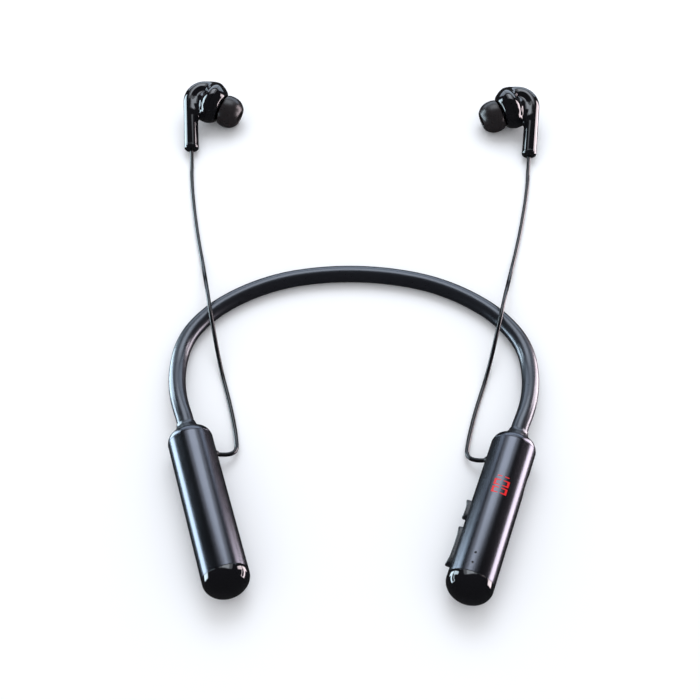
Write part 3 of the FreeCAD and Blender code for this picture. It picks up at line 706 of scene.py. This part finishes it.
def make_barrels(materials):
    """The left barrel is plain; the right one is cut for the keys, the port and the two holes."""
    ends = 0.12
    outline = filleted([
        (SEAM_X + 0.02, BORE_R, 0), (SEAM_X + 0.02, POD_R, ends),
        (CAP_START - 0.02, POD_R, ends), (CAP_START - 0.02, BORE_R, 0),
    ], 4)
    plain = turned_mesh(outline, 160)
    outside, inside = POD_R + 1.5, BORE_R - 2.5
    cutters = [
        stadium(BUTTON_AT, BUTTON_SLOT, KEY_SLOT_HIGH, -outside, -inside),
        stadium(ROCKER_AT, ROCKER_SLOT, KEY_SLOT_HIGH, -outside, -inside),
        stadium(PORT_AT, PORT_LONG, PORT_HIGH, inside, outside),
    ]
    turn = [2 * math.pi * k / 24 for k in range(24)]
    for x in HOLES_X:
        rim = [(x + HOLE_R * math.cos(a), HOLES_Y + HOLE_R * math.sin(a)) for a in turn]
        cutters.append(prism([(u, v, 5) for u, v in rim], [(u, v, 10) for u, v in rim]))
    for (side, mirror), (points, faces) in zip(SIDES, (carved(*plain, cutters), plain)):
        place = mirror @ POD_PLACE
        piece = new_piece(f"{side}_barrel_shell", points, faces, place, materials["barrel_satin"],
                          f"{side}_arm", [f"{side}_barrel"], "barrel_satin")
        back = place.inverted()
        normals = []
        for polygon in piece.data.polygons:
            middle = back @ polygon.center
            out = (place.to_3x3() @ Vector((0, middle.y, middle.z))).normalized()
            round_face = abs(out.dot(polygon.normal)) > 0.99
            for index in polygon.vertices:
                corner = back @ piece.data.vertices[index].co
                radial = (place.to_3x3() @ Vector((0, corner.y, corner.z))).normalized()
                if radial.dot(polygon.normal) < 0:
                    radial.negate()
                normals.append(tuple(radial if round_face else polygon.normal))
        piece.data.normals_split_custom_set(normals)


def curved_plate(corners, low, high, parts=6):
    """A four-cornered plate on the barrel's round, between two radii.

    Its corners are (distance along the pod, distance round the barrel), anticlockwise.
    """
    a, b, c, d = (Vector(corner) for corner in corners)
    points = []
    for r in (low, high):
        for i in range(parts + 1):
            for j in range(parts + 1):
                x, y = a.lerp(b, i / parts).lerp(d.lerp(c, i / parts), j / parts)
                points.append((x, r * math.sin(y / POD_R), r * math.cos(y / POD_R)))
    row = parts + 1
    layer = row * row
    faces = []
    for i in range(parts):
        for j in range(parts):
            quad = (i * row + j, (i + 1) * row + j, (i + 1) * row + j + 1, i * row + j + 1)
            faces += [tuple(k + layer for k in quad), quad[::-1]]
        edges = ((i * row, (i + 1) * row), ((i + 1) * row + parts, i * row + parts),
                 (i + 1, i), (parts * row + i, parts * row + i + 1))
        faces += [(m, n, n + layer, m + layer) for m, n in edges]
    return points, faces


def figure_plates():
    """The lit bars of 1, 0, 0, which run round the barrel: two dashes, then two pairs of brackets.

    A bracket is a thick closed end and two arms that taper towards the figure's middle.
    """
    one, *zeros = FIGURES_X
    for facing in (1, -1):
        yield [(one - 0.19, facing * 0.45), (one + 0.19, facing * 0.5), (one + 0.19, facing * 2.05),
               (one - 0.19, facing * 2.15)][::facing]
        for middle in zeros:
            tip, neck, end = (facing * y for y in (0.36, 1.95, 2.75))
            yield [(middle - 1.22, neck), (middle + 1.22, neck), (middle + 1.22, end),
                   (middle - 1.22, end)][::facing]
            for side in (1, -1):
                yield [(middle + side * 0.84, tip), (middle + side * 1.1, tip),
                       (middle + side * 1.22, neck), (middle + side * 0.7, neck)][::facing * side]


def make_display(materials):
    """Lens that matches the barrel, with the figures 1, 0, 0 lit in it."""
    rim = [(LENS_START, -LENS_HALF), (LENS_STOP, -LENS_HALF), (LENS_STOP, LENS_HALF),
           (LENS_START, LENS_HALF)]
    window = curved_plate(rim, POD_R - 0.5, POD_R + 0.012, 24)
    new_piece("lens_window", *window, POD_PLACE, materials["smoked_lens"], "right_arm",
              ["display_lens"], "smoked_lens")
    points, faces = [], []
    for corners in figure_plates():
        plate_points, plate_faces = curved_plate(corners, POD_R - 0.3, POD_R + 0.03)
        faces += [tuple(i + len(points) for i in face) for face in plate_faces]
        points += plate_points
    new_piece("lit_digits", points, faces, POD_PLACE, materials["lit_figures"], "right_arm",
              ["display_figures"], "lit_figures")


def make_pods(materials):
    """Shoulder, collar, end cap and strain relief of each pod."""
    turned_parts = (
        ("shoulder_shell", shoulder_outline(), "shoulder", "barrel_satin", 128),
        ("collar_ring", collar_outline(), "collar", "band_rubber", 96),
        ("cap_shell", cap_outline(), "end_cap", "cap_gloss", 160),
        ("strain_relief", gland_outline(), "cord_gland", "cord_jacket", 48),
    )
    for side, mirror in SIDES:
        for name, outline, node, slot, spokes in turned_parts:
            place = gland_place(mirror) if node == "cord_gland" else mirror @ POD_PLACE
            lathe(
                f"{side}_{name}", outline, place, materials[slot], f"{side}_arm",
                [f"{side}_{node}"], slot, spokes,
            )


# --- keys -----------------------------------------------------------------------------------
def key_mesh(length, height, crown, edge=0.75, steps=60):
    """A stadium-shaped key: its top follows crown(share of length), its edge is rounded over.

    Rings step inwards from the outline; the last ring closes on the stadium's middle line.
    """
    half, straight = height / 2, (length - height) / 2
    drops = [(0.0, 0.0)] + [(edge * (1 - math.cos(a)), edge * math.sin(a)) for a in
                            (math.radians(90 * k / 6) for k in range(1, 7))]
    inner = [(edge + (half - edge) * k / 4, edge) for k in range(1, 5)]
    rings = []
    for inset, lift in drops + inner:
        radius = half - inset
        ring = []
        for k in range(steps):
            angle = 2 * math.pi * k / steps
            across = math.cos(angle)
            shift = math.copysign(straight, across) * min(abs(across) * 6, 1.0)
            ring.append((shift + radius * across, radius * math.sin(angle), lift))
        rings.append(ring)
    points = [(u, -(crown(0.5 + u / length) - edge + lift), v)
              for ring in rings for u, v, lift in ring]
    points += [(u, 0.0, v) for u, v, _ in rings[0]]
    index = [list(range(i * steps, (i + 1) * steps)) for i in range(len(rings) + 1)]
    index.insert(0, index.pop())
    faces = [(low[k], high[k], high[(k + 1) % steps], low[(k + 1) % steps])
             for low, high in zip(index, index[1:]) for k in range(steps)]
    faces.append(tuple(index[0]))
    last = index[-1]
    for k in range(steps // 2):
        a, b = last[k], last[(k + 1) % steps]
        c, d = last[(-k - 1) % steps], last[(-k) % steps]
        face = tuple(dict.fromkeys((a, b, c, d)))
        if len(face) > 2:
            faces.append(face[::-1])
    return points, faces


def make_keys(materials):
    """Button and rocker, with raised ends and a hollow for the fingertip."""
    def button_crown(share):
        return POD_R + 1.15 + 0.65 * (2 * abs(share - 0.56)) ** 3.2 - KEY_ROOT

    def rocker_crown(share):
        return POD_R + 1.0 + (1.0 if share > 0.5 else 0.6) * (2 * abs(share - 0.5)) ** 3.4 - KEY_ROOT

    for name, node, body, middle, length, crown in (
        ("button_key", "multi_function_button", "button", BUTTON_AT, BUTTON_LONG, button_crown),
        ("volume_key", "volume_rocker", "rocker", ROCKER_AT, ROCKER_LONG, rocker_crown),
    ):
        points, faces = key_mesh(length, KEY_HIGH, crown)
        place = POD_PLACE @ Matrix.Translation((middle, -KEY_ROOT, 0))
        new_piece(name, points, faces, place, materials["key_black"], body, [node], "key_black")


# --- earbuds --------------------------------------------------------------------------------
def smooth_less(a, b, reach):
    """The smaller of two distances, rounded where they are within reach of each other."""
    near = np.clip(reach - np.abs(a - b), 0, None) / reach
    return np.minimum(a, b) - near * near * reach / 4


def smooth_more(a, b, reach):
    return -smooth_less(-a, -b, reach)


WEB = ((-3.3, 19.0, -0.3), (-5.6, 24.8, 0.3))   # closes the crook between stem and head
WEB_R = 2.5


def bud_field(p):
    """Distance-like field of the stem, its hook and the head, in the earbud's frame."""
    centre = np.array((-HOOK_R, STEM_TOP, 0.0))
    rel = p - centre
    angle = np.arctan2(rel[:, 1], rel[:, 0])
    angle = np.where(angle < -math.pi / 2, angle + 2 * math.pi, angle)
    swing = np.clip(angle, 0, math.radians(HOOK_TURN))
    on_arc = centre + HOOK_R * np.stack([np.cos(swing), np.sin(swing), 0 * swing], 1)
    stem = np.linalg.norm(p[:, [0, 2]], axis=1)
    hook = np.linalg.norm(p - on_arc, axis=1)
    handle = np.where((p[:, 1] < STEM_TOP) & (p[:, 0] > -HOOK_R), stem, hook) - STEM_R
    handle = handle / np.sqrt(1 + (np.clip(handle, 0, None) / 3.0) ** 2)    # levels off far away

    back = np.array(NOZZLE_IN_BUD.inverted())
    q = p @ back[:3, :3].T + back[:3, 3]
    along, out = q[:, 0], np.linalg.norm(q[:, 1:], axis=1)
    side = np.hypot(along - 0.3, out + 1.49) - 10.99
    rear = np.hypot(along - (HEAD_REAR + 26), out) - 26
    head = smooth_more(smooth_more(side, rear, 3.6), along - HEAD_FRONT - 0.1, 1.4)

    melt = np.clip((p[:, 1] - 16.5) / 7.0, 0, 1)
    body = smooth_less(handle, head, 0.35 + 4.2 * melt * melt * (3 - 2 * melt))
    low, high = (np.array(end) for end in WEB)
    share = np.clip((p - low) @ (high - low) / ((high - low) @ (high - low)), 0, 1)
    web = np.linalg.norm(p - low - share[:, None] * (high - low), axis=1) - WEB_R
    return smooth_less(body, web, 3.0)


def field_slope(p, step=0.02):
    slope = np.empty_like(p)
    for axis in range(3):
        shift = np.zeros(3)
        shift[axis] = step
        slope[:, axis] = (bud_field(p + shift) - bud_field(p - shift)) / (2 * step)
    return slope


def evened(points, faces, voxel):
    """One closed mesh of even faces round the given closed shapes."""
    mesh = bpy.data.meshes.new("rough")
    mesh.from_pydata(points, [], faces)
    rough = linked("rough", mesh)
    remesh = rough.modifiers.new("even", "REMESH")
    remesh.mode, remesh.voxel_size = "VOXEL", voxel
    even = bpy.data.meshes.new_from_object(rough.evaluated_get(bpy.context.evaluated_depsgraph_get()))
    bpy.data.objects.remove(rough)
    return even


def drawn_to_field(mesh, turns):
    """The mesh's points after turns of smoothing, each followed by a step onto the field's surface."""
    links = np.array([tuple(edge.vertices) for edge in mesh.edges])
    p = np.array([tuple(v.co) for v in mesh.vertices])
    for turn in range(turns):
        total, count = np.zeros_like(p), np.zeros(len(p))
        for a, b in ((0, 1), (1, 0)):
            np.add.at(total, links[:, a], p[links[:, b]])
            np.add.at(count, links[:, a], 1)
        if turn < turns - 5:
            p = p + 0.5 * (total / count[:, None] - p)
        slope = field_slope(p)
        steep = np.maximum((slope * slope).sum(1), 0.3)
        p = p - slope * (bud_field(p) / steep)[:, None] * 0.9
    return p


def bud_surface():
    """The earbud's body as one even mesh on the field's surface, in the earbud's frame."""
    stem = [(0, y, 0) for y in np.linspace(-5.0, STEM_TOP, 26)]
    hook = [(-HOOK_R + HOOK_R * math.cos(a), STEM_TOP + HOOK_R * math.sin(a), 0)
            for a in np.radians(np.linspace(4, HOOK_TURN, 24))]
    handle = tube(stem + hook, [STEM_R] * 50, 0.0, 32)
    head = [(HEAD_REAR, 0.0), (HEAD_REAR + 0.4, HEAD_R - 2), (0.8, HEAD_R), (4.4, HEAD_R - 0.8),
            (HEAD_FRONT, HEAD_FRONT_R), (HEAD_FRONT, 0.0)]
    head_points, head_faces = turned_mesh(head[::-1], 64)
    low, high = (Vector(end) for end in WEB)
    web = tube([low.lerp(high, k / 6) for k in range(7)], [WEB_R] * 7, 0.0, 24)
    points, faces = [], []
    for part_points, part_faces in (
        handle, ([NOZZLE_IN_BUD @ Vector(v) for v in head_points], head_faces), web,
    ):
        faces += [tuple(i + len(points) for i in face) for face in part_faces]
        points += [tuple(v) for v in part_points]
    for voxel, turns in ((0.5, 24), (0.36, 16)):
        even = evened(points, faces, voxel)
        points = [tuple(v) for v in drawn_to_field(even, turns)]
        faces = [tuple(face.vertices) for face in even.polygons]
    for vertex, place in zip(even.vertices, points):
        vertex.co = place
    work = bmesh.new()
    work.from_mesh(even)
    return work


def near_head(work):
    """The vertices, edges and faces within a disc's reach of the nozzle's axis."""
    back = NOZZLE_IN_BUD.inverted()
    reach = HEAD_R + 2.5
    verts = {v for v in work.verts if Vector((back @ v.co)[1:]).length < reach}
    edges = [e for e in work.edges if all(v in verts for v in e.verts)]
    faces = [f for f in work.faces if all(v in verts for v in f.verts)]
    return verts, edges, faces


def cut_shell(source, point, normal, at_head):
    """A copy of a closed mesh with what lies beyond a plane cut off and the cut filled."""
    part = source.copy()
    verts, edges, faces = near_head(part) if at_head else (part.verts, part.edges, part.faces)
    geometry = [*verts, *edges, *faces]
    bmesh.ops.bisect_plane(part, geom=geometry, plane_co=point, plane_no=normal, clear_outer=True)
    rim = [edge for edge in part.edges if edge.is_boundary]
    bmesh.ops.edgeloop_fill(part, edges=rim)
    return part


def bud_piece(name, work, mirror, material, body, stands_for, slot):
    """A cut piece of the earbud's body, its shading taken from the field, flat on its cuts."""
    points = [tuple(v.co) for v in work.verts]
    work.faces.ensure_lookup_table()
    faces = [tuple(v.index for v in face.verts) for face in work.faces]
    piece = new_piece(name, points, faces, mirror @ BUD_PLACE, material, body, stands_for, slot)
    slopes = field_slope(np.array(points)) @ np.array((mirror @ BUD_PLACE).to_3x3()).T
    slopes /= np.linalg.norm(slopes, axis=1)[:, None]
    normals = []
    for polygon in piece.data.polygons:
        flat = polygon.loop_total > 6
        for loop in polygon.loop_indices:
            vertex = piece.data.loops[loop].vertex_index
            normals.append(tuple(polygon.normal) if flat else tuple(slopes[vertex]))
    piece.data.normals_split_custom_set(normals)
    return piece


def nozzle_outline():
    lip = 0.35
    return filleted([
        (HEAD_FRONT - 0.6, 1.75, 0), (HEAD_FRONT - 0.6, 4.2, 0), (HEAD_FRONT + 0.2, 4.2, 0.2),
        (HEAD_FRONT + 0.9, NOZZLE_R, 0.3), (NOZZLE_END - 1.6, NOZZLE_R, 0.1),
        (NOZZLE_END - 1.35, NOZZLE_R + lip, 0.1), (NOZZLE_END - 0.6, NOZZLE_R + lip, 0.15),
        (NOZZLE_END, NOZZLE_R - 0.1, 0.08), (NOZZLE_END, 2.1, 0.05), (NOZZLE_END - 0.35, 2.1, 0),
        (NOZZLE_END - 0.35, 1.75, 0),
    ])


def tip_outline():
    """Silicone tip: rolled rim, full dome, blunt end rolled into the bore, and the grip inside."""
    core_r = NOZZLE_R + 0.4
    sleeve_r = core_r + 0.75
    fold = TIP_END - 2.4
    dome = flowing([
        (TIP_START + 0.12, TIP_RIM_R - 0.12), (TIP_START + 0.55, TIP_RIM_R + 0.2),
        (TIP_START + 1.6, TIP_R - 0.12), (TIP_START + 3.1, TIP_R), (TIP_START + 4.8, TIP_R - 0.18),
        (TIP_START + 6.4, TIP_R - 0.75), (TIP_START + 7.7, TIP_R - 1.72),
        (TIP_END - 0.28, TIP_FLAT_R + 0.55), (TIP_END, TIP_FLAT_R - 0.1),
    ])
    inside = flowing([
        (fold - 0.2, sleeve_r), (fold + 0.35, sleeve_r + 0.8), (fold - 0.4, sleeve_r + 1.75),
        (TIP_START + 4.6, TIP_R - 1.05), (TIP_START + 2.0, TIP_R - 0.8),
        (TIP_START + 0.1, TIP_RIM_R - 0.62),
    ])
    return [
        *filleted([(TIP_START + 2, core_r, 0), (TIP_START + 0.5, core_r, 0.1),
                   (TIP_START + 0.5, sleeve_r, 0.2), (TIP_START + 2, sleeve_r, 0)])[1:],
        *inside, *dome,
        *filleted([dome[-1] + (0,), (TIP_END, core_r, 0.35), (TIP_END - 1.5, core_r, 0)])[1:],
    ]


def ring_outline():
    """Rounded end ring of the stem, gripping the cord."""
    cord_r, full = CORD_D / 2, STEM_R + 0.06
    return filleted([
        (RING_END, full, 0.15), (RING_END, STEM_R - STEM_WALL, 0),
        (RING_END + 1.2, STEM_R - STEM_WALL, 0),
        (RING_END + 1.2, cord_r - 0.05, 0), (0.5, cord_r - 0.05, 0), (0.3, cord_r + 0.35, 0.12),
        (0.0, cord_r + 0.6, 0.2), (0.0, full, 1.15),
    ], 8)


def make_earbuds(materials):
    gloss = materials["bud_gloss"]
    whole = bud_surface()
    whole.normal_update()
    seam_gap = 0.05
    axis = NOZZLE_IN_BUD.to_3x3() @ Vector((1, 0, 0))
    seam = Vector(HEAD_AT) + axis * HEAD_SPLIT
    rear = cut_shell(whole, Vector((0, RING_END + 0.03, 0)), Vector((0, -1, 0)), False)
    rear = cut_shell(rear, seam - axis * seam_gap, axis, True)
    front = whole.copy()
    kept = near_head(front)[0]
    bmesh.ops.delete(front, geom=[v for v in front.verts if v not in kept], context="VERTS")
    front = cut_shell(front, seam + axis * seam_gap, -axis, False)
    for side, mirror in SIDES:
        arm, slot, nozzle = side + "_arm", "cap_gloss", mirror @ NOZZLE_PLACE
        housing, ring_place = [f"{side}_front_housing"], mirror @ BUD_PLACE @ turned("Z", 90)
        bud_piece(f"{side}_bud_body", rear, mirror, gloss, arm, [f"{side}_rear_housing"], slot)
        bud_piece(f"{side}_bud_front", front, mirror, gloss, arm, housing, slot)
        lathe(f"{side}_nozzle", nozzle_outline(), nozzle, gloss, arm, housing, slot, 64)
        lathe(
            f"{side}_silicone_tip", tip_outline(), nozzle, materials["tip_silicone"], side + "_tip",
            [f"{side}_ear_tip"], "tip_silicone", 128,
        )
        ring = [f"{side}_stem_ring"]
        lathe(f"{side}_end_ring", ring_outline(), ring_place, gloss, arm, ring, slot, 96)


# --- CAD nodes that keep their shape ----------------------------------------------------------
def finish_cad_nodes(materials):
    """Each CAD node that is still shown takes the material of its slot in the record."""
    slots = {part["node"]: part["material_slot"] for part in frame["record"]["subparts"]}
    for name, node in frame["nodes"].items():
        material = materials["nozzle_mesh"] if name.endswith("nozzle_mesh") else materials[slots[name]]
        node.data.materials.clear()
        node.data.materials.append(material)


# --- studio -----------------------------------------------------------------------------------
def softbox(name, place, aim, size, radiance, colour):
    light = bpy.data.lights.new(name, "AREA")
    light.shape = "RECTANGLE"
    light.size, light.size_y = size
    light.energy = radiance * math.pi * size[0] * size[1]
    light.color = colour
    lamp = linked(name, light)
    lamp.location = place
    lamp.rotation_mode = "QUATERNION"
    lamp.rotation_quaternion = (Vector(aim) - Vector(place)).to_track_quat("-Z", "Y")
    lamp.visible_camera = False
    return lamp


def make_studio():
    """Pale floor and walls, soft boxes above and behind, and two low ones on each side."""
    mesh = bpy.data.meshes.new("floor")
    reach = 4.0
    corners = [(-reach, -reach, 0), (reach, -reach, 0), (reach, reach, 0), (-reach, reach, 0)]
    mesh.from_pydata(corners, [], [(0, 1, 2, 3)])
    floor = linked("floor", mesh)
    paper = Surface("floor_paper", Specular_IOR_Level=0.1)
    paper.colour(paper.mix(paper.noise(3), (0.90, 0.90, 0.905), (0.92, 0.92, 0.925)))
    paper.roughness(paper.spread(paper.noise(40), 0.75, 0.9))
    mesh.materials.append(paper.material)
    floor.visible_glossy = False
    floor.visible_shadow = False

    # The walls light the floor evenly but hardly show in the gloss, as in a tent with dark gaps.
    world = bpy.data.worlds.new("studio")
    world.use_nodes = True
    backdrop = world.node_tree.nodes["Background"]
    backdrop.inputs["Color"].default_value = (0.95, 0.965, 1.0, 1.0)
    rays = world.node_tree.nodes.new("ShaderNodeLightPath")
    strength = world.node_tree.nodes.new("ShaderNodeMapRange")
    strength.inputs["To Min"].default_value = 0.95
    strength.inputs["To Max"].default_value = 0.03
    world.node_tree.links.new(rays.outputs["Is Glossy Ray"], strength.inputs["Value"])
    world.node_tree.links.new(strength.outputs["Result"], backdrop.inputs["Strength"])
    bpy.context.scene.world = world
    softbox("overhead_core", (0.0, 0.52, 0.76), (0, 0, 0), (0.5, 0.5), 2.3, (0.84, 0.91, 1.0))
    softbox("overhead_halo", (0.0, 0.53, 0.77), (0, 0, 0), (1.0, 0.6), 1.1, (0.86, 0.92, 1.0))
    # The rear and side boxes are there for the gloss alone.
    rear = softbox("rear", (0.0, 0.95, 0.30), (0, 0, 0.02), (1.6, 0.5), 2.0, (0.72, 0.84, 1.0))
    rear.visible_diffuse = False
    for side, x, colour in (("left", -0.62, (0.72, 0.89, 1.0)), ("right", 0.62, (1.0, 0.86, 0.91))):
        for part, y, z, size, radiance in (
            ("pod", 0.02, -0.07, (0.40, 0.27), 9.0), ("bud", 0.36, -0.02, (0.28, 0.72), 7.5),
        ):
            box = softbox(f"{side}_{part}_box", (x, y, z), (0, y, z), size, radiance, colour)
            box.visible_diffuse = False
    bpy.context.scene.view_settings.view_transform = "Standard"


looks = make_materials()
make_camera()
make_cords(looks)
make_band(looks)
make_pods(looks)
make_barrels(looks)
make_display(looks)
make_keys(looks)
make_earbuds(looks)
finish_cad_nodes(looks)
make_studio()
